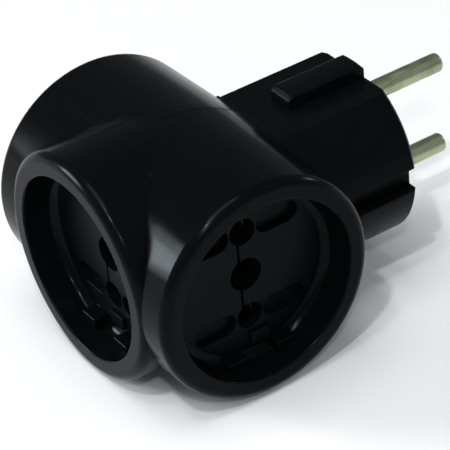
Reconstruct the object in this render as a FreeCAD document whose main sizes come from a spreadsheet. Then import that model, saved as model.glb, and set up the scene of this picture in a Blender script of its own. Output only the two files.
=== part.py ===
import FreeCAD, Part
import math
import os
import Sketcher

# Three-way socket adapter: a T of three cups on a round two-pin plug.
# Millimetres. The origin is the middle of the plug face, +Y leaves along the pins,
# the side cups look along +X and -X, the front cup along -Y, the pins stand one above the other.

SIZES = [
    ("axis_back", 42.8, "plug face to the axis of the side cups"),
    ("tube_radius", 23.75, "cross tube at its middle"),
    ("side_rim_radius", 22.9, "cross tube at its rims, after the draft"),
    ("side_reach", 29.45, "side cup rim to the middle"),
    ("front_root_radius", 23.65, "front cup where it leaves the tube"),
    ("front_rim_radius", 23.3, "front cup at its rim"),
    ("front_setback", 0.35, "front of the cross tube to the rim of the front cup"),
    ("rim_round", 2.0, "outer rounding of the rims"),
    ("lip_round", 0.4, "inner rounding of the rims"),
    ("recess_radius", 18.75, "wall of the recess"),
    ("recess_depth", 7.3, "rim to socket face"),
    ("floor_round", 2.3, "rounding at the foot of the recess wall"),
    ("face_flat", 15.85, "middle of a socket face to its keying flats"),
    ("face_thickness", 3.0, "socket face plate"),
    ("face_fit", 0.05, "clearance of a socket face in its seat"),
    ("tube_bore", 12.8, "hollow of the cross tube"),
    ("front_bore", 13.4, "hollow of the front cup"),
    ("passage_half", 16.0, "half width of the way in from the plug opening"),
    ("passage_rise", 12.6, "half height of the way in from the plug opening"),
    ("land_inner", 3.4, "middle of a recess to the near side of a key land"),
    ("land_outer", 7.8, "middle of a recess to the far side of a key land"),
    ("land_root", 19.2, "how far the key lands reach into the wall"),
    ("land_setback", 4.1, "rim to the top of a key land"),
    ("live_offset", 9.5, "middle to a live hole, and to a pin"),
    ("live_radius", 2.75, "live hole"),
    ("centre_radius", 3.4, "centre hole"),
    ("slot_width", 4.4, "recessed slot beside a live hole"),
    ("slot_inner", 3.1, "near end of the slot"),
    ("slot_outer", 12.4, "far end of the slot"),
    ("slot_depth", 1.55, "depth of the slot"),
    ("slit_offset", 1.3, "middle line to the slit that joins the holes"),
    ("slit_width", 0.6, "slit"),
    ("slit_depth", 0.8, "depth of the slit"),
    ("lug_left", 0.6, "middle line to the near side of the lug"),
    ("lug_right", 3.6, "middle line to the far side of the lug"),
    ("lug_top", 12.9, "middle to the upper side of the lug below the lower live hole"),
    ("lug_bottom", 15.5, "middle to the lower side of the lug"),
    ("lug_height", 0.9, "height of the lug above the socket face"),
    ("spine_half", 8.0, "half width of the spine behind a socket face"),
    ("spine_rise", 5.0, "half height of the spine"),
    ("spine_height", 3.95, "back of the plate to the carrier"),
    ("peg_offset", 6.2, "middle to a locking peg"),
    ("peg_radius", 1.4, "locking peg"),
    ("peg_length", 3.0, "locking peg beyond the spine"),
    ("peg_fit", 0.05, "clearance round a peg"),
    ("peg_end", 0.3, "room beyond the end of a peg"),
    ("plug_radius", 18.65, "plug body"),
    ("plug_flat", 15.75, "middle to the flats of the plug body"),
    ("plug_depth", 31.0, "plug face to the inner end of the plug body"),
    ("plug_bore", 13.0, "hollow of the plug body"),
    ("plug_wall", 5.0, "thickness behind the plug face"),
    ("plug_edge", 0.6, "bevel round the plug face"),
    ("plug_fit", 0.15, "clearance of the plug body in the housing"),
    ("key_width", 6.1, "key rib"),
    ("key_reach", 17.8, "plug face to the rear end of the key rib"),
    ("key_bevel", 1.1, "bevel at the rear end of the key rib"),
    ("groove_half", 2.375, "half width of the side groove"),
    ("groove_floor", 16.0, "middle to the floor of the side groove"),
    ("boss_radius", 4.0, "boss round a pin"),
    ("boss_end", 12.0, "plug face to the end of a pin boss"),
    ("screw_boss_radius", 3.5, "boss round the screw"),
    ("screw_boss_end", 14.5, "plug face to the end of the screw boss"),
    ("pin_radius", 2.0, "pin, in front of the plug face"),
    ("pin_root_radius", 2.3, "pin inside the plug body"),
    ("pin_reach", 20.4, "plug face to the tip of a pin"),
    ("pin_round", 0.9, "rounding of the tip"),
    ("pin_fit", 0.05, "clearance round a pin"),
    ("collar_radius", 3.0, "collar of a pin"),
    ("collar_height", 1.5, "collar of a pin"),
    ("neck_radius", 1.3, "riveted neck of a pin"),
    ("neck_fit", 0.05, "clearance round the neck"),
    ("pin_head_radius", 2.2, "riveted end of a pin"),
    ("pin_head_height", 1.3, "riveted end of a pin"),
    ("pin_head_crown", 1.2, "flat end of the riveted head"),
    ("washer_radius", 2.6, "washer under the riveted end"),
    ("washer_height", 0.6, "washer"),
    ("carrier_half", 5.6, "half thickness of the carrier"),
    ("carrier_stem", 5.0, "half width of the carrier towards the plug"),
    ("carrier_bore", 2.6, "room for a centre pin"),
    ("side_bore_end", 3.4, "middle to the end of a side bore"),
    ("front_bore_end", 2.6, "front bore past the tube axis"),
    ("rail_thickness", 0.8, "rail"),
    ("rail_half", 3.5, "half width of a rail"),
    ("rail_end", 0.1, "carrier end to rail end"),
    ("tab_top", 12.0, "middle to the top of a rail tab"),
    ("clip_thickness", 0.5, "contact leaf"),
    ("clip_half", 3.2, "half width of a contact at its base"),
    ("clip_pinch", 1.95, "middle to a leaf where it grips"),
    ("clip_flare", 2.7, "middle to a leaf at its mouth"),
    ("clip_height", 5.6, "height of a contact"),
    ("clip_length", 10.15, "length of a contact"),
    ("clip_gap", 0.3, "contact to the back of the socket face"),
    ("rivet_setback", 7.0, "outer end of a contact to its rivet"),
    ("rivet_radius", 0.8, "clip rivet"),
    ("rivet_fit", 0.05, "clearance round a clip rivet"),
    ("rivet_head_radius", 1.4, "head of a clip rivet"),
    ("rivet_crown", 0.2, "head on the contact"),
    ("rivet_foot", 0.5, "head under the rail"),
    ("rivet_room", 0.1, "room round the foot of a rivet in the carrier"),
    ("screw_sink", 0.6, "plug face to the screw head"),
    ("screw_head_radius", 2.8, "head of the closing screw"),
    ("screw_head_height", 1.6, "head of the closing screw"),
    ("screw_radius", 1.45, "shank of the closing screw"),
    ("screw_end", 24.0, "plug face to the end of the screw"),
    ("screw_point", 0.6, "bevel at the end of the screw"),
    ("screw_fit", 0.25, "clearance round the screw in the plug body"),
    ("screw_slot_width", 0.8, "driver slot"),
    ("screw_slot_depth", 0.8, "driver slot"),
    ("insert_radius", 2.3, "threaded insert"),
    ("insert_start", 15.0, "plug face to the near end of the insert"),
    ("insert_length", 8.5, "threaded insert"),
    ("insert_fit", 0.05, "clearance of the screw in the insert"),
    ("insert_room", 2.5, "bore beyond the insert"),
]

SHEET = "Sizes"
OVERSHOOT = 2.0
TINY = 1e-9
CENTRE_LEFT = 1
CENTRE_RIGHT = -1

document = FreeCAD.newDocument("socket_adapter")
sheet = document.addObject("Spreadsheet::Sheet", SHEET)


class Length:
    """A number together with the sheet formula that it comes from."""

    def __init__(self, number, formula):
        self.number = float(number)
        self.formula = formula

    def __add__(self, other):
        other = length(other)
        return Length(self.number + other.number, "(%s + %s)" % (self.formula, other.formula))

    def __sub__(self, other):
        other = length(other)
        return Length(self.number - other.number, "(%s - %s)" % (self.formula, other.formula))

    def __mul__(self, other):
        other = length(other)
        return Length(self.number * other.number, "(%s * %s)" % (self.formula, other.formula))

    def __neg__(self):
        return Length(-self.number, "(-1 * %s)" % self.formula)


def length(value):
    """A plain number as a Length."""
    if isinstance(value, Length):
        return value
    return Length(value, repr(float(value)))


def chord(radius, offset):
    """Half the chord that a circle leaves at an offset from its middle."""
    number = math.sqrt(radius.number ** 2 - offset.number ** 2)
    return Length(number, "sqrt(%s ^ 2 - %s ^ 2)" % (radius.formula, offset.formula))


class Values:
    """The sheet values by name."""


S = Values()
for row, (alias, value, note) in enumerate(SIZES, 1):
    sheet.set("A%d" % row, alias)
    sheet.set("B%d" % row, str(value))
    sheet.set("C%d" % row, note)
    sheet.setAlias("B%d" % row, alias)
    setattr(S, alias, Length(value, SHEET + "." + alias))
document.recompute()


def new_body(name):
    body = document.addObject("PartDesign::Body", name)
    body.Label = name
    return body


def new_sketch(body, name, role, offset=0):
    """A sketch on an origin plane of the body, moved along the plane's normal."""
    plane = [item for item in body.Origin.OriginFeatures if item.Role == role][0]
    drawing = body.newObject("Sketcher::SketchObject", name)
    drawing.AttachmentSupport = [(plane, "")]
    drawing.MapMode = "FlatFace"
    drawing.setExpression("AttachmentOffset.Base.z", length(offset).formula)
    return drawing


def drive(drawing, constraint, value):
    index = drawing.addConstraint(constraint)
    drawing.setExpression("Constraints[%d]" % index, value.formula)


def fix(drawing, element, point, x, y):
    """Hold a point at its two distances from the sketch origin."""
    for kind, axis, value in (("DistanceX", -2, length(x)), ("DistanceY", -1, length(y))):
        if abs(value.number) < TINY:
            drawing.addConstraint(Sketcher.Constraint("PointOnObject", element, point, axis))
        else:
            constraint = Sketcher.Constraint(kind, -1, 1, element, point, value.number)
            drive(drawing, constraint, value)


def draw_arc(start, end, radius, side):
    """An arc shorter than half a turn, its centre left or right of the way from start to end."""
    middle = (start + end) * 0.5
    way = end - start
    normal = FreeCAD.Vector(-way.y, way.x, 0)
    normal.normalize()
    centre = middle + normal * (side * math.sqrt(radius ** 2 - (way.Length / 2) ** 2))
    first = start - centre
    last = end - centre
    angles = [math.atan2(first.y, first.x), math.atan2(last.y, last.x)]
    if side == CENTRE_RIGHT:
        angles.reverse()
    if angles[1] < angles[0]:
        angles[1] += 2 * math.pi
    circle = Part.Circle(centre, FreeCAD.Vector(0, 0, 1), radius)
    return Part.ArcOfCircle(circle, angles[0], angles[1])


def draw_loop(drawing, corners):
    """A closed loop; a corner (x, y) starts a line, (x, y, radius, side) starts an arc."""
    points = [FreeCAD.Vector(length(c[0]).number, length(c[1]).number, 0) for c in corners]
    edges = []
    for index, corner in enumerate(corners):
        start = points[index]
        end = points[(index + 1) % len(points)]
        if len(corner) == 2:
            element = drawing.addGeometry(Part.LineSegment(start, end), False)
            edges.append((element, 1, 2))
            continue
        radius = length(corner[2])
        arc = draw_arc(start, end, radius.number, corner[3])
        element = drawing.addGeometry(arc, False)
        ends = (1, 2) if corner[3] == CENTRE_LEFT else (2, 1)
        edges.append((element, ends[0], ends[1]))
    for index, (element, head, tail) in enumerate(edges):
        following = edges[(index + 1) % len(edges)]
        drawing.addConstraint(
            Sketcher.Constraint("Coincident", element, tail, following[0], following[1])
        )
        fix(drawing, element, head, corners[index][0], corners[index][1])
        if len(corners[index]) > 2:
            radius = length(corners[index][2])
            drive(drawing, Sketcher.Constraint("Radius", element, radius.number), radius)


def draw_circle(drawing, x, y, radius):
    centre = FreeCAD.Vector(length(x).number, length(y).number, 0)
    circle = Part.Circle(centre, FreeCAD.Vector(0, 0, 1), radius.number)
    element = drawing.addGeometry(circle, False)
    fix(drawing, element, 3, x, y)
    drive(drawing, Sketcher.Constraint("Radius", element, radius.number), radius)


def draw_box(drawing, left, right, low, high):
    draw_loop(drawing, [(left, low), (right, low), (right, high), (left, high)])


def draw_slot(drawing, left, right, middle, half):
    """A slot with round ends."""
    draw_loop(drawing, [
        (left + half, middle - half),
        (right - half, middle - half, half, CENTRE_LEFT),
        (right, middle, half, CENTRE_LEFT),
        (right - half, middle + half),
        (left + half, middle + half, half, CENTRE_LEFT),
        (left, middle, half, CENTRE_LEFT),
    ])


def extrude(body, kind, drawing, depth, reverse=False):
    """A pad or a pocket; a pad leaves along the sketch normal, a pocket against it."""
    item = body.newObject("PartDesign::" + kind, drawing.Name + "_" + kind.lower())
    item.Profile = drawing
    item.setExpression("Length", length(depth).formula)
    item.Reversed = reverse
    document.recompute()
    return item


def turn(body, kind, drawing, axis="H_Axis"):
    """A full revolution or groove about an axis of the sketch."""
    item = body.newObject("PartDesign::" + kind, drawing.Name + "_" + kind.lower())
    item.Profile = drawing
    item.ReferenceAxis = (drawing, [axis])
    item.Angle = 360
    document.recompute()
    return item


def place(body, outward, upward, x, y, z):
    """Turn a body so that its own Z looks outward and its own Y upward, then move it."""
    across = upward.cross(outward)
    body.Placement = FreeCAD.Placement(
        FreeCAD.Vector(0, 0, 0), FreeCAD.Rotation(across, upward, outward, "ZYX")
    )
    for axis, value in (("x", x), ("y", y), ("z", z)):
        body.setExpression(".Placement.Base." + axis, length(value).formula)


UP = FreeCAD.Vector(0, 0, 1)
DOWN = FreeCAD.Vector(0, 0, -1)
side_floor = S.side_reach - S.recess_depth
front_reach = S.tube_radius - S.front_setback
front_floor = front_reach - S.recess_depth

# Each cup: name, the way it looks, and how far its recess floor is from the tube axis.
CUPS = [
    ("front", FreeCAD.Vector(0, -1, 0), front_floor),
    ("right", FreeCAD.Vector(1, 0, 0), side_floor),
    ("left", FreeCAD.Vector(-1, 0, 0), side_floor),
]
LEVELS = [("upper", UP, 1), ("lower", DOWN, -1)]


def cup_point(outward, distance):
    """The point on a cup axis at a distance from the tube axis."""
    return length(distance) * outward.x, length(distance) * outward.y - S.axis_back


# Housing: the drafted cross tube and the front cup, rounded at their rims.
housing = new_body("housing")
drawing = new_sketch(housing, "housing_tube", "XZ_Plane", S.axis_back)
round_foot = S.side_reach - S.rim_round
draw_loop(drawing, [
    (-S.side_reach, 0),
    (S.side_reach, 0),
    (S.side_reach, S.side_rim_radius - S.rim_round, S.rim_round, CENTRE_LEFT),
    (round_foot, S.side_rim_radius),
    (0, S.tube_radius),
    (-round_foot, S.side_rim_radius, S.rim_round, CENTRE_LEFT),
    (-S.side_reach, S.side_rim_radius - S.rim_round),
])
turn(housing, "Revolution", drawing)

front_rim = S.axis_back + front_reach
drawing = new_sketch(housing, "housing_front", "YZ_Plane")
draw_loop(drawing, [
    (-S.axis_back, 0),
    (-S.axis_back, S.front_root_radius),
    (-(front_rim - S.rim_round), S.front_rim_radius, S.rim_round, CENTRE_LEFT),
    (-front_rim, S.front_rim_radius - S.rim_round),
    (-front_rim, 0),
])
turn(housing, "Revolution", drawing)


def hollow_corners(rim, bore, sign, axis):
    """The recess of one cup from its rim to the tube axis; sign says which way it opens."""
    floor = rim - S.recess_depth
    shoulder = floor - S.face_thickness
    seat = S.recess_radius - S.floor_round
    lip_side = CENTRE_RIGHT if sign > 0 else CENTRE_LEFT
    floor_side = -lip_side
    lip = S.recess_radius + S.lip_round
    steps = [
        (rim + OVERSHOOT, 0, None),
        (rim + OVERSHOOT, lip, None),
        (rim, lip, (S.lip_round, lip_side)),
        (rim - S.lip_round, S.recess_radius, None),
        (floor + S.floor_round, S.recess_radius, (S.floor_round, floor_side)),
        (floor, seat, None),
        (shoulder, seat, None),
        (shoulder, bore, None),
        (length(0), bore, None),
        (length(0), 0, None),
    ]
    corners = []
    for distance, radius, arc in steps:
        corner = (distance * sign + axis, radius)
        corners.append(corner + arc if arc else corner)
    return corners


for name, sign in (("right", 1), ("left", -1)):
    drawing = new_sketch(housing, "housing_hollow_" + name, "XZ_Plane", S.axis_back)
    draw_loop(drawing, hollow_corners(S.side_reach, S.tube_bore, sign, length(0)))
    turn(housing, "Groove", drawing)
drawing = new_sketch(housing, "housing_hollow_front", "YZ_Plane")
draw_loop(drawing, hollow_corners(front_reach, S.front_bore, -1, -S.axis_back))
turn(housing, "Groove", drawing)


def plug_corners(gap):
    """The round of the plug body with its flats and side grooves, grown by a gap."""
    radius = S.plug_radius + gap
    flat = S.plug_flat + gap
    half = S.groove_half - gap
    floor = S.groove_floor + gap
    flat_end = chord(radius, flat)
    groove_end = chord(radius, half)
    return [
        (floor, -half),
        (floor, half),
        (groove_end, half, radius, CENTRE_LEFT),
        (flat_end, flat),
        (-flat_end, flat, radius, CENTRE_LEFT),
        (-groove_end, half),
        (-floor, half),
        (-floor, -half),
        (-groove_end, -half, radius, CENTRE_LEFT),
        (-flat_end, -flat),
        (flat_end, -flat, radius, CENTRE_LEFT),
        (groove_end, -half),
    ]


# Housing: the opening that takes the plug body, and the way through to the cross tube.
drawing = new_sketch(housing, "housing_socket", "XZ_Plane", S.plug_depth)
draw_loop(drawing, plug_corners(S.plug_fit))
extrude(housing, "Pocket", drawing, S.plug_depth)
drawing = new_sketch(housing, "housing_passage", "XZ_Plane", S.axis_back)
draw_box(drawing, -S.passage_half, S.passage_half, -S.passage_rise, S.passage_rise)
extrude(housing, "Pocket", drawing, S.axis_back - S.plug_depth)

# Housing: seats with keying flats, and the four key lands of each recess.
for name, outward, floor in CUPS:
    sideways = name != "front"
    role = "YZ_Plane" if sideways else "XZ_Plane"
    middle = -S.axis_back if sideways else length(0)
    offset = -floor if name == "left" else floor
    if name == "front":
        offset = floor + S.axis_back
    backwards = name == "left"
    drawing = new_sketch(housing, "housing_seat_" + name, role, offset)
    flat = S.face_flat + S.face_fit
    draw_box(drawing, middle - S.land_outer, middle + S.land_outer, flat, S.land_root)
    draw_box(drawing, middle - S.land_outer, middle + S.land_outer, -S.land_root, -flat)
    extrude(housing, "Pad", drawing, S.face_thickness, not backwards)
    drawing = new_sketch(housing, "housing_lands_" + name, role, offset)
    for low, high in ((flat, S.land_root), (-S.land_root, -flat)):
        draw_box(drawing, middle - S.land_outer, middle - S.land_inner, low, high)
        draw_box(drawing, middle + S.land_inner, middle + S.land_outer, low, high)
    extrude(housing, "Pad", drawing, S.recess_depth - S.land_setback, backwards)

# Plug body: round with two flats and two grooves, hollow from the inside.
plug = new_body("plug_body")
drawing = new_sketch(plug, "plug_round", "XZ_Plane")
draw_loop(drawing, plug_corners(length(0)))
extrude(plug, "Pad", drawing, S.plug_depth)

# Plug body: the key rib on each flat, trimmed to the round and bevelled with the face edge.
drawing = new_sketch(plug, "plug_keys", "YZ_Plane", S.key_width * -0.5)
key_foot = S.plug_flat - OVERSHOOT
for sign in (1, -1):
    corners = [
        (-S.key_reach, key_foot * sign),
        (-S.key_reach, (S.plug_radius - S.key_bevel) * sign),
        (-(S.key_reach - S.key_bevel), S.plug_radius * sign),
        (0, S.plug_radius * sign),
        (0, key_foot * sign),
    ]
    draw_loop(drawing, corners)
extrude(plug, "Pad", drawing, S.key_width)
drawing = new_sketch(plug, "plug_trim", "YZ_Plane")
trim_start = -(S.key_reach + OVERSHOOT)
draw_loop(drawing, [
    (trim_start, S.plug_radius),
    (-S.plug_edge, S.plug_radius),
    (0, S.plug_radius - S.plug_edge),
    (0, S.plug_radius + OVERSHOOT),
    (trim_start, S.plug_radius + OVERSHOOT),
])
turn(plug, "Groove", drawing)

# Plug body: the hollow, the bosses behind the face, and the bores for pins and screw.
drawing = new_sketch(plug, "plug_hollow", "XZ_Plane", S.plug_depth)
draw_circle(drawing, 0, 0, S.plug_bore)
extrude(plug, "Pocket", drawing, S.plug_depth - S.plug_wall)
drawing = new_sketch(plug, "plug_bosses", "XZ_Plane", S.plug_wall)
draw_circle(drawing, 0, S.live_offset, S.boss_radius)
draw_circle(drawing, 0, -S.live_offset, S.boss_radius)
extrude(plug, "Pad", drawing, S.boss_end - S.plug_wall)
drawing = new_sketch(plug, "plug_screw_boss", "XZ_Plane", S.plug_wall)
draw_circle(drawing, 0, 0, S.screw_boss_radius)
extrude(plug, "Pad", drawing, S.screw_boss_end - S.plug_wall)
drawing = new_sketch(plug, "plug_pin_bores", "XZ_Plane", S.boss_end)
draw_circle(drawing, 0, S.live_offset, S.pin_root_radius + S.pin_fit)
draw_circle(drawing, 0, -S.live_offset, S.pin_root_radius + S.pin_fit)
extrude(plug, "Pocket", drawing, S.boss_end)
drawing = new_sketch(plug, "plug_screw_bore", "YZ_Plane")
head_room = S.screw_head_radius + S.screw_fit
shank_room = S.screw_radius + S.screw_fit
head_end = S.screw_sink + S.screw_head_height
draw_loop(drawing, [
    (-S.screw_boss_end, 0),
    (-S.screw_boss_end, shank_room),
    (-head_end, shank_room),
    (-S.screw_sink, head_room),
    (0, head_room),
    (0, 0),
])
turn(plug, "Groove", drawing)

# Socket faces: a keyed plate with holes, slots and a lug, and a spine with two locking pegs.
for name, outward, floor in CUPS:
    face = new_body("socket_face_" + name)
    radius = S.recess_radius - S.floor_round - S.face_fit
    flat_end = chord(radius, S.face_flat)
    drawing = new_sketch(face, "plate_" + name, "XY_Plane")
    draw_loop(drawing, [
        (flat_end, -S.face_flat, radius, CENTRE_LEFT),
        (flat_end, S.face_flat),
        (-flat_end, S.face_flat, radius, CENTRE_LEFT),
        (-flat_end, -S.face_flat),
    ])
    extrude(face, "Pad", drawing, S.face_thickness, True)
    drawing = new_sketch(face, "spine_" + name, "XY_Plane", -S.face_thickness)
    draw_box(drawing, -S.spine_half, S.spine_half, -S.spine_rise, S.spine_rise)
    extrude(face, "Pad", drawing, S.spine_height, True)
    spine_back = S.face_thickness + S.spine_height
    drawing = new_sketch(face, "pegs_" + name, "XY_Plane", -spine_back)
    draw_circle(drawing, S.peg_offset, 0, S.peg_radius)
    draw_circle(drawing, -S.peg_offset, 0, S.peg_radius)
    extrude(face, "Pad", drawing, S.peg_length, True)
    drawing = new_sketch(face, "live_holes_" + name, "XY_Plane")
    draw_circle(drawing, 0, S.live_offset, S.live_radius)
    draw_circle(drawing, 0, -S.live_offset, S.live_radius)
    extrude(face, "Pocket", drawing, S.face_thickness)
    drawing = new_sketch(face, "centre_hole_" + name, "XY_Plane")
    draw_circle(drawing, 0, 0, S.centre_radius)
    extrude(face, "Pocket", drawing, spine_back)
    drawing = new_sketch(face, "slots_" + name, "XY_Plane")
    for middle in (S.live_offset, -S.live_offset):
        draw_slot(drawing, S.slot_inner, S.slot_outer, middle, S.slot_width * 0.5)
        draw_slot(drawing, -S.slot_outer, -S.slot_inner, middle, S.slot_width * 0.5)
    extrude(face, "Pocket", drawing, S.slot_depth)
    drawing = new_sketch(face, "slit_" + name, "XY_Plane")
    slit_left = -S.slit_offset - S.slit_width * 0.5
    slit_right = -S.slit_offset + S.slit_width * 0.5
    draw_box(drawing, slit_left, slit_right, -S.live_offset, S.live_offset)
    extrude(face, "Pocket", drawing, S.slit_depth)
    drawing = new_sketch(face, "lug_" + name, "XY_Plane")
    draw_box(drawing, -S.lug_left, S.lug_right, -S.lug_bottom, -S.lug_top)
    extrude(face, "Pad", drawing, S.lug_height)
    x, y = cup_point(outward, floor)
    place(face, outward, UP, x, y, 0)

# Carrier: an insulating T between the rails, bored for centre pins, pegs, rivets and insert.
side_end = side_floor - S.face_thickness - S.spine_height
front_end = front_floor - S.face_thickness - S.spine_height + S.axis_back
carrier = new_body("contact_carrier")
drawing = new_sketch(carrier, "carrier_plan", "XY_Plane", -S.carrier_half)
bar_rear = S.spine_half - S.axis_back
bar_front = -S.spine_half - S.axis_back
draw_loop(drawing, [
    (S.carrier_stem, -S.screw_boss_end),
    (-S.carrier_stem, -S.screw_boss_end),
    (-S.carrier_stem, bar_rear),
    (-side_end, bar_rear),
    (-side_end, bar_front),
    (-S.spine_half, bar_front),
    (-S.spine_half, -front_end),
    (S.spine_half, -front_end),
    (S.spine_half, bar_front),
    (side_end, bar_front),
    (side_end, bar_rear),
    (S.carrier_stem, bar_rear),
])
extrude(carrier, "Pad", drawing, S.carrier_half * 2)
peg_room = S.peg_radius + S.peg_fit
for name, offset, reverse in (("right", side_end, False), ("left", -side_end, True)):
    drawing = new_sketch(carrier, "carrier_bore_" + name, "YZ_Plane", offset)
    draw_circle(drawing, -S.axis_back, 0, S.carrier_bore)
    extrude(carrier, "Pocket", drawing, side_end - S.side_bore_end, reverse)
    drawing = new_sketch(carrier, "carrier_pegs_" + name, "YZ_Plane", offset)
    draw_circle(drawing, -S.axis_back - S.peg_offset, 0, peg_room)
    draw_circle(drawing, -S.axis_back + S.peg_offset, 0, peg_room)
    extrude(carrier, "Pocket", drawing, S.peg_length + S.peg_end, reverse)
drawing = new_sketch(carrier, "carrier_bore_front", "XZ_Plane", front_end)
draw_circle(drawing, 0, 0, S.carrier_bore)
extrude(carrier, "Pocket", drawing, front_end - S.axis_back + S.front_bore_end)
drawing = new_sketch(carrier, "carrier_pegs_front", "XZ_Plane", front_end)
draw_circle(drawing, S.peg_offset, 0, peg_room)
draw_circle(drawing, -S.peg_offset, 0, peg_room)
extrude(carrier, "Pocket", drawing, S.peg_length + S.peg_end)
drawing = new_sketch(carrier, "carrier_insert_bore", "XZ_Plane", S.screw_boss_end)
draw_circle(drawing, 0, 0, S.insert_radius)
insert_end = S.insert_start + S.insert_length
bore_depth = insert_end + S.insert_room - S.screw_boss_end
extrude(carrier, "Pocket", drawing, bore_depth, True)


def rivet_distance(floor):
    """How far a cup's clip rivets are from the tube axis."""
    return floor - S.face_thickness - S.clip_gap - S.rivet_setback


for level, upward, sign in LEVELS:
    drawing = new_sketch(carrier, "carrier_rivets_" + level, "XY_Plane", S.carrier_half * sign)
    for name, outward, floor in CUPS:
        x, y = cup_point(outward, rivet_distance(floor))
        draw_circle(drawing, x, y, S.rivet_head_radius + S.rivet_room)
    extrude(carrier, "Pocket", drawing, S.rivet_foot + S.rivet_room, sign < 0)

# Rails: one T-shaped strip on each side of the carrier, bent up to a tab for its pin.
tab_face = S.boss_end + S.collar_height
for level, upward, sign in LEVELS:
    rail = new_body("live_rail_" + level)
    drawing = new_sketch(rail, "rail_plan_" + level, "XY_Plane", S.carrier_half)
    rail_side = side_end - S.rail_end
    rail_front = front_end - S.rail_end
    rail_rear = S.rail_half - S.axis_back
    rail_near = -S.rail_half - S.axis_back
    rail_corners = [
        (S.rail_half, -tab_face),
        (-S.rail_half, -tab_face),
        (-S.rail_half, rail_rear),
        (-rail_side, rail_rear),
        (-rail_side, rail_near),
        (-S.rail_half, rail_near),
        (-S.rail_half, -rail_front),
        (S.rail_half, -rail_front),
        (S.rail_half, rail_near),
        (rail_side, rail_near),
        (rail_side, rail_rear),
        (S.rail_half, rail_rear),
    ]
    draw_loop(drawing, rail_corners)
    extrude(rail, "Pad", drawing, S.rail_thickness)
    drawing = new_sketch(rail, "rail_tab_" + level, "XZ_Plane", tab_face)
    draw_box(drawing, -S.rail_half, S.rail_half, S.carrier_half, S.tab_top)
    extrude(rail, "Pad", drawing, S.rail_thickness)
    drawing = new_sketch(rail, "rail_tab_hole_" + level, "XZ_Plane", tab_face + S.rail_thickness)
    draw_circle(drawing, 0, S.live_offset, S.neck_radius + S.neck_fit)
    extrude(rail, "Pocket", drawing, S.rail_thickness)
    drawing = new_sketch(rail, "rail_rivets_" + level, "XY_Plane", S.carrier_half + S.rail_thickness)
    for name, outward, floor in CUPS:
        x, y = cup_point(outward, rivet_distance(floor))
        draw_circle(drawing, x, y, S.rivet_radius + S.rivet_fit)
    extrude(rail, "Pocket", drawing, S.rail_thickness)
    if sign < 0:
        rail.Placement = FreeCAD.Placement(
            FreeCAD.Vector(0, 0, 0), FreeCAD.Rotation(FreeCAD.Vector(0, 1, 0), 180)
        )

# Contacts: a sprung channel behind each live hole, and the rivet that holds it to its rail.
clip_level = S.carrier_half + S.rail_thickness
grip_level = S.live_offset - clip_level
for level, upward, sign in LEVELS:
    for name, outward, floor in CUPS:
        clip_end = floor - S.face_thickness - S.clip_gap
        clip = new_body("contact_%s_%s" % (level, name))
        drawing = new_sketch(clip, "channel_%s_%s" % (level, name), "XY_Plane", -S.clip_length)
        inner = [
            (S.clip_flare, S.clip_height),
            (S.clip_pinch, grip_level),
            (S.clip_half - S.clip_thickness, S.clip_thickness),
        ]
        outer = [
            (S.clip_half, length(0)),
            (S.clip_pinch + S.clip_thickness, grip_level),
            (S.clip_flare + S.clip_thickness, S.clip_height),
        ]
        right_side = outer + inner
        left_side = [(-x, y) for x, y in reversed(right_side)]
        draw_loop(drawing, right_side + left_side)
        extrude(clip, "Pad", drawing, S.clip_length)
        drawing = new_sketch(clip, "clip_hole_%s_%s" % (level, name), "XZ_Plane")
        draw_circle(drawing, 0, -S.rivet_setback, S.rivet_radius + S.rivet_fit)
        extrude(clip, "Pocket", drawing, S.clip_thickness)
        x, y = cup_point(outward, clip_end)
        place(clip, outward, upward, x, y, clip_level * sign)

        rivet = new_body("clip_rivet_%s_%s" % (level, name))
        drawing = new_sketch(rivet, "rivet_%s_%s" % (level, name), "XZ_Plane")
        crown_foot = S.rail_thickness + S.clip_thickness
        draw_loop(drawing, [
            (0, -S.rivet_foot),
            (S.rivet_head_radius, -S.rivet_foot),
            (S.rivet_head_radius, 0),
            (S.rivet_radius, 0),
            (S.rivet_radius, crown_foot),
            (S.rivet_head_radius, crown_foot),
            (S.rivet_head_radius, crown_foot + S.rivet_crown),
            (0, crown_foot + S.rivet_crown),
        ])
        turn(rivet, "Revolution", drawing, "V_Axis")
        x, y = cup_point(outward, rivet_distance(floor))
        place(rivet, upward, FreeCAD.Vector(0, 1, 0), x, y, S.carrier_half * sign)

# Pins: thicker inside the plug body, a collar against the boss, a neck riveted over a washer.
neck_end = tab_face + S.rail_thickness + S.washer_height
for level, upward, sign in LEVELS:
    pin = new_body("pin_" + level)
    drawing = new_sketch(pin, "pin_round_" + level, "YZ_Plane")
    draw_loop(drawing, [
        (-(neck_end + S.pin_head_height), 0),
        (S.pin_reach, 0),
        (S.pin_reach, S.pin_radius - S.pin_round, S.pin_round, CENTRE_LEFT),
        (S.pin_reach - S.pin_round, S.pin_radius),
        (0, S.pin_radius),
        (0, S.pin_root_radius),
        (-S.boss_end, S.pin_root_radius),
        (-S.boss_end, S.collar_radius),
        (-tab_face, S.collar_radius),
        (-tab_face, S.neck_radius),
        (-neck_end, S.neck_radius),
        (-neck_end, S.pin_head_radius),
        (-(neck_end + S.pin_head_height), S.pin_head_crown),
    ])
    turn(pin, "Revolution", drawing)
    pin.setExpression(".Placement.Base.z", (S.live_offset * sign).formula)

    washer = new_body("pin_washer_" + level)
    drawing = new_sketch(washer, "washer_" + level, "XZ_Plane", tab_face + S.rail_thickness)
    draw_circle(drawing, 0, 0, S.washer_radius)
    draw_circle(drawing, 0, 0, S.neck_radius + S.neck_fit)
    extrude(washer, "Pad", drawing, S.washer_height)
    washer.setExpression(".Placement.Base.z", (S.live_offset * sign).formula)

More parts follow.
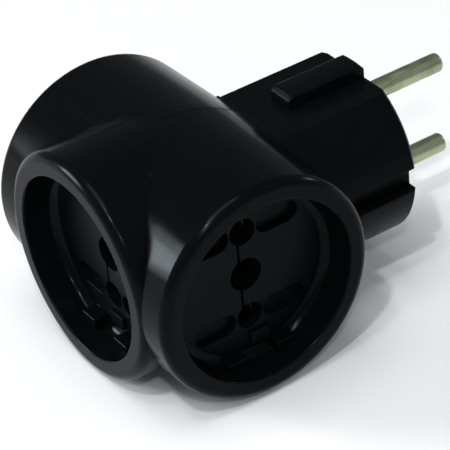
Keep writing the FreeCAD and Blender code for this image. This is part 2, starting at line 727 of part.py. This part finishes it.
# Closing screw, sunk in the plug face, and the threaded insert that it pulls on.
screw = new_body("closing_screw")
drawing = new_sketch(screw, "screw_round", "YZ_Plane")
draw_loop(drawing, [
    (-S.screw_end, 0),
    (-S.screw_sink, 0),
    (-S.screw_sink, S.screw_head_radius),
    (-head_end, S.screw_radius),
    (-(S.screw_end - S.screw_point), S.screw_radius),
    (-S.screw_end, S.screw_radius - S.screw_point),
])
turn(screw, "Revolution", drawing)
drawing = new_sketch(screw, "screw_slot", "XZ_Plane", S.screw_sink)
slot_half = S.screw_slot_width * 0.5
draw_box(drawing, -S.screw_head_radius, S.screw_head_radius, -slot_half, slot_half)
extrude(screw, "Pocket", drawing, S.screw_slot_depth, True)

insert = new_body("screw_insert")
drawing = new_sketch(insert, "insert_round", "XZ_Plane", S.insert_start)
draw_circle(drawing, 0, 0, S.insert_radius)
draw_circle(drawing, 0, 0, S.screw_radius + S.insert_fit)
extrude(insert, "Pad", drawing, S.insert_length)

document.recompute()
faults = []
for item in document.Objects:
    if "Invalid" in item.State or "Error" in item.State:
        faults.append(item.Name)
bodies = [item for item in document.Objects if item.TypeId == "PartDesign::Body"]
for body in bodies:
    if body.Shape.isNull() or not body.Shape.isValid() or len(body.Shape.Solids) != 1:
        faults.append(body.Label)
if faults:
    raise RuntimeError("not sound: " + ", ".join(faults))

os.makedirs("parts", exist_ok=True)
for body in bodies:
    body.Shape.exportStep(os.path.join("parts", body.Label + ".step"))
print(len(bodies), "pieces")
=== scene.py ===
import math

import bmesh
import bpy
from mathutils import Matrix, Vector


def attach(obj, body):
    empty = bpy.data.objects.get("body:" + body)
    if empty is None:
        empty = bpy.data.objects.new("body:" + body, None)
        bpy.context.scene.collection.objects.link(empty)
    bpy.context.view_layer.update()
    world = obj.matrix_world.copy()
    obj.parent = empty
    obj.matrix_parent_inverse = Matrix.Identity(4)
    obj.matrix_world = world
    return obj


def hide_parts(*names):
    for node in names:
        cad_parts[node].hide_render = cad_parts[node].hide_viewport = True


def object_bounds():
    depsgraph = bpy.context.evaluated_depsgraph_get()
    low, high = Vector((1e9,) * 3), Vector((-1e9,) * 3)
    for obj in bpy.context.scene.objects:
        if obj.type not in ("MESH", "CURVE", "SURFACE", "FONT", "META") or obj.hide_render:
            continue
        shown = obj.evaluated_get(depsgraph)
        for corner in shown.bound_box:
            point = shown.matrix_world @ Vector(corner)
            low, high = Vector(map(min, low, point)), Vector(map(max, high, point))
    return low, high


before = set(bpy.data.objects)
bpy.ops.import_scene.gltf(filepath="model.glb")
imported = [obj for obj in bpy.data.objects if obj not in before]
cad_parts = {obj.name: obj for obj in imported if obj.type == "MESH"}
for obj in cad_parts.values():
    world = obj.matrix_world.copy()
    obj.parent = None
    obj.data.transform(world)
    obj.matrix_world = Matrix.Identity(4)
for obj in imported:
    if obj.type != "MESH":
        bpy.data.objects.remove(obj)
cad_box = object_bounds()

# The photographer's place: a long lens above the near side cup, with the picture turned
# a little because the adapter rests on its plug while the part stands square.
view_from = Vector((0.34362, -0.24107, 0.27715))
view_at = Vector((0.00510, -0.03590, -0.00126))
picture_turn = math.radians(-5.82)
bpy.ops.object.camera_add(location=view_from)
camera = bpy.context.object
camera.name = "camera"
camera.rotation_euler = (view_at - view_from).to_track_quat("-Z", "Y").to_euler()
camera.rotation_euler.rotate_axis("Z", picture_turn)
camera.data.sensor_width = 36
camera.data.lens = 203.4
camera.data.clip_end = 10
bpy.context.scene.camera = camera
bpy.context.scene.view_settings.view_transform = "Standard"


# The table and the room: a wide sheet of white paper under the adapter, in a dim room. One
# soft lamp hangs above, three small ones stand over the near cups, three nested ones low
# beside the front cup, and a narrow one behind.
def clear_selection():
    """Leaves edit mode, with nothing selected."""
    if bpy.context.object and bpy.context.object.mode != "OBJECT":
        bpy.ops.object.mode_set(mode="OBJECT")
    bpy.ops.object.select_all(action="DESELECT")


def remap(nodes, low, high, first=0.0, last=1.0):
    """A node that turns the values between low and high into those between first and last."""
    node = nodes.new("ShaderNodeMapRange")
    node.inputs["From Min"].default_value = low
    node.inputs["From Max"].default_value = high
    node.inputs["To Min"].default_value = first
    node.inputs["To Max"].default_value = last
    return node


table_height = cad_box[0][2]
table_width = 8
clear_selection()
bpy.ops.mesh.primitive_plane_add(size=table_width, location=(0, 0, table_height))
table = bpy.context.object
table.name = "table"
paper = bpy.data.materials.new("white_paper")
paper.use_nodes = True
nodes = paper.node_tree.nodes
links = paper.node_tree.links
nodes.clear()
surface = nodes.new("ShaderNodeOutputMaterial")
shade = nodes.new("ShaderNodeBsdfDiffuse")
shade.inputs["Color"].default_value = (0.86, 0.86, 0.86, 1)
links.new(shade.outputs[0], surface.inputs["Surface"])
table.data.materials.append(paper)

darker_side = (-0.72, 0.45, 0.53)
world = bpy.data.worlds.new("studio")
bpy.context.scene.world = world
world.use_nodes = True
nodes = world.node_tree.nodes
links = world.node_tree.links
walls = nodes["Background"]
walls.inputs["Color"].default_value = (0.86, 0.93, 1.0, 1)
look = nodes.new("ShaderNodeTexCoord")
curtain = nodes.new("ShaderNodeVectorMath")
curtain.operation = "DOT_PRODUCT"
curtain.inputs[1].default_value = darker_side
dimming = remap(nodes, 0.2, 0.85, 0.38, 0.22)
dimming.interpolation_type = "SMOOTHSTEP"
links.new(look.outputs["Generated"], curtain.inputs[0])
links.new(curtain.outputs["Value"], dimming.inputs["Value"])
links.new(dimming.outputs["Result"], walls.inputs["Strength"])

lamp_target = Vector((0, -0.03, 0))
near = 0.9
far = 1.6


def softbox(name, turn, rise, distance, width, height, power):
    """A lamp that looks at the adapter; its turn goes from the front cup to the right one."""
    flat = math.cos(math.radians(rise))
    way = Vector((
        math.sin(math.radians(turn)) * flat,
        -math.cos(math.radians(turn)) * flat,
        math.sin(math.radians(rise)),
    ))
    clear_selection()
    bpy.ops.object.light_add(type="AREA", location=lamp_target + way * distance)
    lamp = bpy.context.object
    lamp.name = name
    lamp.data.shape = "RECTANGLE"
    lamp.data.size = width
    lamp.data.size_y = height
    lamp.data.energy = power
    lamp.rotation_euler = (-way).to_track_quat("-Z", "Y").to_euler()


softbox("lamp_above", 0, 82, near, 0.50, 0.50, 3.0)
softbox("lamp_crest", 28, 67, near, 0.04, 0.04, 0.7)
softbox("lamp_bright", 41, 58, near, 0.034, 0.034, 1.9)
softbox("lamp_spark", 60, 44, near, 0.04, 0.04, 0.9)
softbox("lamp_low_wide", -42, 17.6, far, 0.46, 0.64, 9.4)
softbox("lamp_low_middle", -42, 16.0, far, 0.46, 0.52, 7.6)
softbox("lamp_low_core", -42, 15.0, far, 0.46, 0.39, 5.0)
softbox("lamp_behind", 178, 18, near, 0.30, 0.08, 0.7)


# Housing: one thick jacket of glossy black plastic, moulded in two half moulds, so its
# surface has the faint ripple and fine grain of a mould and no paint.
def moulding_grain():
    """Grain, flow and handling marks of a moulded plastic, as masks."""
    if "moulding_grain" in bpy.data.node_groups:
        return bpy.data.node_groups["moulding_grain"]
    group = bpy.data.node_groups.new("moulding_grain", "ShaderNodeTree")
    face = group.interface
    face.new_socket("Vector", in_out="INPUT", socket_type="NodeSocketVector")
    for name, value in (("Grain Scale", 2500.0), ("Flow Scale", 60.0)):
        socket = face.new_socket(name, in_out="INPUT", socket_type="NodeSocketFloat")
        socket.default_value = value
    for name in ("Grain", "Flow", "Marks"):
        face.new_socket(name, in_out="OUTPUT", socket_type="NodeSocketFloat")
    inside = group.nodes
    wire = group.links
    given = inside.new("NodeGroupInput")
    result = inside.new("NodeGroupOutput")
    grain = inside.new("ShaderNodeTexNoise")
    grain.inputs["Detail"].default_value = 3
    wire.new(given.outputs["Vector"], grain.inputs["Vector"])
    wire.new(given.outputs["Grain Scale"], grain.inputs["Scale"])
    wire.new(grain.outputs["Fac"], result.inputs["Grain"])
    flow = inside.new("ShaderNodeTexNoise")
    flow.inputs["Detail"].default_value = 2
    flow.inputs["Distortion"].default_value = 0.6
    wire.new(given.outputs["Vector"], flow.inputs["Vector"])
    wire.new(given.outputs["Flow Scale"], flow.inputs["Scale"])
    wire.new(flow.outputs["Fac"], result.inputs["Flow"])
    marks = inside.new("ShaderNodeTexNoise")
    marks.inputs["Scale"].default_value = 180
    marks.inputs["Detail"].default_value = 6
    marks.inputs["Roughness"].default_value = 0.7
    wire.new(given.outputs["Vector"], marks.inputs["Vector"])
    sharpen = remap(inside, 0.56, 0.74)
    wire.new(marks.outputs["Fac"], sharpen.inputs["Value"])
    wire.new(sharpen.outputs["Result"], result.inputs["Marks"])
    return group


def moulded_plastic(name, deep, bloom, gloss, dull, grain_height, flow_height, refraction):
    """Black plastic: deep colour with a bloom, gloss varied by flow and handling marks."""
    marks_share = 0.35
    finish = bpy.data.materials.new(name)
    finish.use_nodes = True
    nodes = finish.node_tree.nodes
    links = finish.node_tree.links
    shader = nodes["Principled BSDF"]
    shader.inputs["IOR"].default_value = refraction
    shader.inputs["Specular Tint"].default_value = (0.70, 0.90, 1.0, 1)
    place = nodes.new("ShaderNodeTexCoord")
    texture = nodes.new("ShaderNodeGroup")
    texture.node_tree = moulding_grain()
    links.new(place.outputs["Object"], texture.inputs["Vector"])
    tint = nodes.new("ShaderNodeMix")
    tint.data_type = "RGBA"
    tint.inputs["A"].default_value = deep + (1,)
    tint.inputs["B"].default_value = bloom + (1,)
    links.new(texture.outputs["Flow"], tint.inputs["Factor"])
    links.new(tint.outputs["Result"], shader.inputs["Base Color"])
    worn = nodes.new("ShaderNodeMath")
    worn.operation = "MULTIPLY_ADD"
    worn.inputs[1].default_value = marks_share
    links.new(texture.outputs["Marks"], worn.inputs[0])
    links.new(texture.outputs["Flow"], worn.inputs[2])
    sheen = remap(nodes, 0.3, 0.9, gloss, dull)
    links.new(worn.outputs[0], sheen.inputs["Value"])
    links.new(sheen.outputs["Result"], shader.inputs["Roughness"])
    ripple = nodes.new("ShaderNodeBump")
    ripple.inputs["Distance"].default_value = flow_height
    links.new(texture.outputs["Flow"], ripple.inputs["Height"])
    grain = nodes.new("ShaderNodeBump")
    grain.inputs["Distance"].default_value = grain_height
    links.new(texture.outputs["Grain"], grain.inputs["Height"])
    links.new(ripple.outputs["Normal"], grain.inputs["Normal"])
    links.new(grain.outputs["Normal"], shader.inputs["Normal"])
    return finish


MM = 0.001
merge_gap = 0.001 * MM
corner_angle = math.radians(40)
flat_angle = math.radians(0.5)
round_angle = math.radians(32)


def finish_with(piece, finish):
    """Gives a piece one finish, in place of all that it had."""
    piece.data.materials.clear()
    piece.data.materials.append(finish)


def take_up(piece):
    """Makes a piece the only one that is selected."""
    clear_selection()
    bpy.context.view_layer.objects.active = piece
    piece.select_set(True)


def merged_copy(name, node):
    """A copy of a CAD node with its loose triangles joined, all selected in edit mode."""
    piece = bpy.data.objects.new(name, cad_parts[node].data.copy())
    bpy.context.collection.objects.link(piece)
    take_up(piece)
    bpy.ops.mesh.customdata_custom_splitnormals_clear()
    bpy.ops.object.mode_set(mode="EDIT")
    bpy.ops.mesh.select_mode(type="EDGE")
    bpy.ops.mesh.select_all(action="SELECT")
    bpy.ops.mesh.remove_doubles(threshold=merge_gap)
    return piece


def pick_edges(piece, wanted):
    """Selects the edges that are wanted, and nothing else."""
    bpy.ops.mesh.select_all(action="DESELECT")
    shape = bmesh.from_edit_mesh(piece.data)
    for edge in shape.edges:
        if wanted(edge):
            edge.select_set(True)
    bmesh.update_edit_mesh(piece.data)


def smooth_over(piece):
    """Leaves edit mode and shades a piece smooth, with its flat faces kept flat."""
    bpy.ops.object.mode_set(mode="OBJECT")
    bpy.ops.object.shade_smooth_by_angle(angle=round_angle)
    flatten = piece.modifiers.new("flatten", "WEIGHTED_NORMAL")
    flatten.keep_sharp = True
    bpy.ops.object.modifier_apply(modifier="flatten")


def softened(name, finish, width, chosen, whole):
    """A merged copy of a CAD node whose chosen outer corners are rounded, as they leave a mould.

    chosen is given each corner's middle and its way along; whole joins flat triangles first.
    """
    def wanted(edge):
        start, end = (corner.co for corner in edge.verts)
        outer = edge.is_convex and edge.calc_face_angle() > corner_angle
        return outer and chosen((start + end) / 2, end - start)

    piece = merged_copy("soft_" + name, name)
    if whole:
        bpy.ops.mesh.dissolve_limited(angle_limit=flat_angle)
    pick_edges(piece, wanted)
    bpy.ops.mesh.bevel(offset=width, segments=3, loop_slide=False, clamp_overlap=False)
    smooth_over(piece)
    finish_with(piece, finish)
    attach(piece, "root")
    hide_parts(name)
    return piece


tube_axis = -42.8 * MM
cup_floors = {"front": 16.1 * MM, "right": 22.15 * MM, "left": 22.15 * MM}
land_foot = 0.3 * MM
land_top = 4 * MM
land_reach = 18.6 * MM


def place_in_cup(cup, point):
    """How far out along the cup's axis a point lies, and how far from that axis."""
    if cup == "front":
        return tube_axis - point.y, math.hypot(point.x, point.z)
    way = 1 if cup == "right" else -1
    return way * point.x, math.hypot(point.y - tube_axis, point.z)


def housing_edge(middle, way):
    """The outer edges of the key lands in the cups."""
    for cup, floor in cup_floors.items():
        out, across = place_in_cup(cup, middle)
        if land_foot < out - floor < land_top and across < land_reach:
            return True
    return False


housing_plastic = moulded_plastic(
    "housing_black", (0.0018, 0.0021, 0.0025), (0.0030, 0.0035, 0.0040), 0.15, 0.24,
    0.005 * MM, 0.02 * MM, 1.14,
)
jacket = softened(
    "housing", housing_plastic, 0.25 * MM, housing_edge, True
)

# Parting line: the fine groove round the middle of the cross tube, from the front cup to
# the plug, where the two half moulds met.
tube_surface = 23.7 * MM
line_width = 0.2 * MM
line_depth = 0.18 * MM
line_front = tube_axis - 1.9 * MM
ridge_angle = math.radians(1)


def from_tube_axis(point):
    """How far a point lies from the axis of the cross tube."""
    return math.hypot(point.y - tube_axis, point.z)


def on_ridge(point):
    """Whether a point lies on the tube's surface, in the plane where the half moulds met."""
    return abs(point.x) < merge_gap and from_tube_axis(point) > tube_surface


def ridge_edge(edge):
    """The edges of the tube's low ridge, where its two drafts meet."""
    along = all(on_ridge(corner.co) for corner in edge.verts)
    return along and edge.is_convex and edge.calc_face_angle() > ridge_angle


take_up(jacket)
bpy.ops.object.mode_set(mode="EDIT")
bpy.ops.mesh.select_mode(type="EDGE")
pick_edges(jacket, ridge_edge)
bpy.ops.mesh.bevel(offset=line_width, segments=2, loop_slide=False, clamp_overlap=False)
bpy.ops.mesh.select_mode(type="VERT")
bpy.ops.mesh.select_all(action="DESELECT")
shape = bmesh.from_edit_mesh(jacket.data)
for corner in shape.verts:
    if on_ridge(corner.co) and corner.co.y > line_front:
        corner.select_set(True)
bmesh.update_edit_mesh(jacket.data)
bpy.ops.transform.shrink_fatten(value=-line_depth)
smooth_over(jacket)

# Opening lip: the thin raised edge round the plug body where it goes into the housing.
# It is part of the housing's moulding and follows the round of the cross tube.
opening_depth = 23 * MM
opening_radius = 19 * MM
lip_root = 0.6 * MM
lip_height = 1.0 * MM
lip_wall = 0.25 * MM
lip_rounding = 0.12 * MM


def opening_edge(edge):
    """The sharp edge of the housing's opening for the plug body."""
    ends = [corner.co for corner in edge.verts]
    on_tube = all(from_tube_axis(end) > opening_depth for end in ends)
    at_plug = all(
        math.hypot(end.x, end.z) < opening_radius and end.y > tube_axis for end in ends
    )
    return on_tube and at_plug and edge.calc_face_angle() > corner_angle


lip = merged_copy("opening_lip", "housing")
pick_edges(lip, opening_edge)
bpy.ops.mesh.select_all(action="INVERT")
bpy.ops.mesh.delete(type="EDGE_FACE")
bpy.ops.mesh.select_all(action="SELECT")
bpy.ops.mesh.delete_loose(use_edges=False)
bpy.ops.mesh.select_all(action="SELECT")
bpy.ops.transform.translate(value=(0, -lip_root, 0))
bpy.ops.mesh.extrude_region_move(TRANSFORM_OT_translate={"value": (0, lip_height, 0)})
bpy.ops.mesh.select_all(action="SELECT")
bpy.ops.mesh.normals_make_consistent(inside=False)
bpy.ops.object.mode_set(mode="OBJECT")
wall = lip.modifiers.new("wall", "SOLIDIFY")
wall.thickness = lip_wall
wall.offset = 1
bpy.ops.object.modifier_apply(modifier="wall")
rounding = lip.modifiers.new("rounding", "BEVEL")
rounding.width = lip_rounding
rounding.segments = 2
rounding.limit_method = "ANGLE"
rounding.angle_limit = math.radians(60)
bpy.ops.object.modifier_apply(modifier="rounding")
bpy.ops.object.shade_smooth_by_angle(angle=math.radians(35))
finish_with(lip, housing_plastic)
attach(lip, "root")

# Plug body: a separate black moulding, pushed into the jacket and a touch duller,
# because hands grip it and sockets rub it.
plug_plastic = moulded_plastic(
    "plug_black", (0.0018, 0.0021, 0.0025), (0.0030, 0.0034, 0.0040), 0.24, 0.36,
    0.005 * MM, 0.02 * MM, 1.13,
)
plug_face_bevel = 1 * MM
plug_inside = 14 * MM


def plug_edge(middle, way):
    """The edges of the key ribs and side grooves, short of the bevelled plug face."""
    return middle.y < -plug_face_bevel and math.hypot(middle.x, middle.z) > plug_inside


softened("plug_body", plug_plastic, 0.3 * MM, plug_edge, True)

# Socket faces: flat satin plates with holes, slots and a fine slit, each moulded in one
# with the pegs behind it and pressed in through its cup.
face_plastic = moulded_plastic(
    "face_black", (0.0020, 0.0026, 0.0033), (0.0032, 0.0040, 0.0050), 0.30, 0.45,
    0.008 * MM, 0.01 * MM, 1.15,
)
face_level = 0.1 * MM
face_reach = 15 * MM
slit_level = 0.4 * MM
slit_shortest = 1 * MM


def mouth_edge(cup):
    """The mouths of a face's holes and slots and the top of its lug, but not its fine slit."""
    def chosen(middle, way):
        out, across = place_in_cup(cup, middle)
        rise = out - cup_floors[cup]
        slit = abs(way.z) > slit_shortest and rise < slit_level
        return rise > -face_level and across < face_reach and not slit

    return chosen


for cup in cup_floors:
    softened(
        "socket_face_" + cup, face_plastic, 0.12 * MM, mouth_edge(cup), False
    )

# Carrier: the dull insulating T, moulded of a harder plastic, that holds the rails apart.
# The socket faces' pegs lock it, and it is seen only through their holes.
carrier_plastic = moulded_plastic(
    "carrier_black", (0.02, 0.02, 0.02), (0.03, 0.03, 0.03), 0.55, 0.7,
    0.01 * MM, 0.01 * MM, 1.3,
)


def dress(node, finish):
    """Gives a CAD node, whose shape is right as it is, its finish."""
    finish_with(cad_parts[node], finish)


dress("contact_carrier", carrier_plastic)


# Rails and contacts: brass strip, rolled, cut and bent, with the streaks of rolling. The
# turned insert that takes the closing screw is of the same brass.
def drawn_streaks():
    """Streaks along one way and soft tarnish, as masks."""
    if "drawn_streaks" in bpy.data.node_groups:
        return bpy.data.node_groups["drawn_streaks"]
    group = bpy.data.node_groups.new("drawn_streaks", "ShaderNodeTree")
    face = group.interface
    face.new_socket("Vector", in_out="INPUT", socket_type="NodeSocketVector")
    way = face.new_socket("Stretch", in_out="INPUT", socket_type="NodeSocketVector")
    way.default_value = (1, 1, 1)
    for name in ("Streaks", "Tarnish"):
        face.new_socket(name, in_out="OUTPUT", socket_type="NodeSocketFloat")
    inside = group.nodes
    wire = group.links
    given = inside.new("NodeGroupInput")
    result = inside.new("NodeGroupOutput")
    pull = inside.new("ShaderNodeVectorMath")
    pull.operation = "MULTIPLY"
    wire.new(given.outputs["Vector"], pull.inputs[0])
    wire.new(given.outputs["Stretch"], pull.inputs[1])
    streaks = inside.new("ShaderNodeTexNoise")
    streaks.inputs["Scale"].default_value = 1
    streaks.inputs["Detail"].default_value = 4
    wire.new(pull.outputs[0], streaks.inputs["Vector"])
    wire.new(streaks.outputs["Fac"], result.inputs["Streaks"])
    tarnish = inside.new("ShaderNodeTexNoise")
    tarnish.inputs["Scale"].default_value = 260
    tarnish.inputs["Detail"].default_value = 5
    wire.new(given.outputs["Vector"], tarnish.inputs["Vector"])
    wire.new(tarnish.outputs["Fac"], result.inputs["Tarnish"])
    return group


def plain_metal(name, bright, dull, smooth, rough, stretch, depth):
    """Bare metal with drawn streaks and a little tarnish."""
    finish = bpy.data.materials.new(name)
    finish.use_nodes = True
    nodes = finish.node_tree.nodes
    links = finish.node_tree.links
    shader = nodes["Principled BSDF"]
    shader.inputs["Metallic"].default_value = 1
    place = nodes.new("ShaderNodeTexCoord")
    texture = nodes.new("ShaderNodeGroup")
    texture.node_tree = drawn_streaks()
    texture.inputs["Stretch"].default_value = stretch
    links.new(place.outputs["Object"], texture.inputs["Vector"])
    tint = nodes.new("ShaderNodeMix")
    tint.data_type = "RGBA"
    tint.inputs["A"].default_value = bright + (1,)
    tint.inputs["B"].default_value = dull + (1,)
    spread = remap(nodes, 0.4, 0.7)
    links.new(texture.outputs["Tarnish"], spread.inputs["Value"])
    links.new(spread.outputs["Result"], tint.inputs["Factor"])
    links.new(tint.outputs["Result"], shader.inputs["Base Color"])
    sheen = remap(nodes, 0.3, 0.7, smooth, rough)
    links.new(texture.outputs["Streaks"], sheen.inputs["Value"])
    links.new(sheen.outputs["Result"], shader.inputs["Roughness"])
    scores = nodes.new("ShaderNodeBump")
    scores.inputs["Distance"].default_value = depth
    links.new(texture.outputs["Streaks"], scores.inputs["Height"])
    links.new(scores.outputs["Normal"], shader.inputs["Normal"])
    return finish


strip_brass = plain_metal(
    "strip_brass", (0.36, 0.31, 0.16), (0.20, 0.17, 0.08), 0.3, 0.5,
    (3000, 3000, 400), 0.004 * MM,
)
levels = ("upper", "lower")
for level in levels:
    dress("live_rail_" + level, strip_brass)
    for cup in cup_floors:
        dress("contact_%s_%s" % (level, cup), strip_brass)
dress("screw_insert", strip_brass)

# Fixings: the rivets that hold the contacts, the washers under the pins' riveted necks
# and the closing screw, all of zinc-plated steel.
fixing_steel = plain_metal(
    "fixing_steel", (0.62, 0.63, 0.62), (0.45, 0.45, 0.43), 0.25, 0.45,
    (2500, 2500, 2500), 0.004 * MM,
)
for level in levels:
    dress("pin_washer_" + level, fixing_steel)
    for cup in cup_floors:
        dress("clip_rivet_%s_%s" % (level, cup), fixing_steel)
dress("closing_screw", fixing_steel)

# Pins: turned brass with nickel plate, riveted to the rails inside the plug body and
# scored lengthwise where contacts have gripped them.
pin_nickel = plain_metal(
    "pin_nickel", (0.44, 0.49, 0.31), (0.30, 0.34, 0.21), 0.22, 0.42,
    (2600, 160, 2600), 0.006 * MM,
)
for level in levels:
    dress("pin_" + level, pin_nickel)
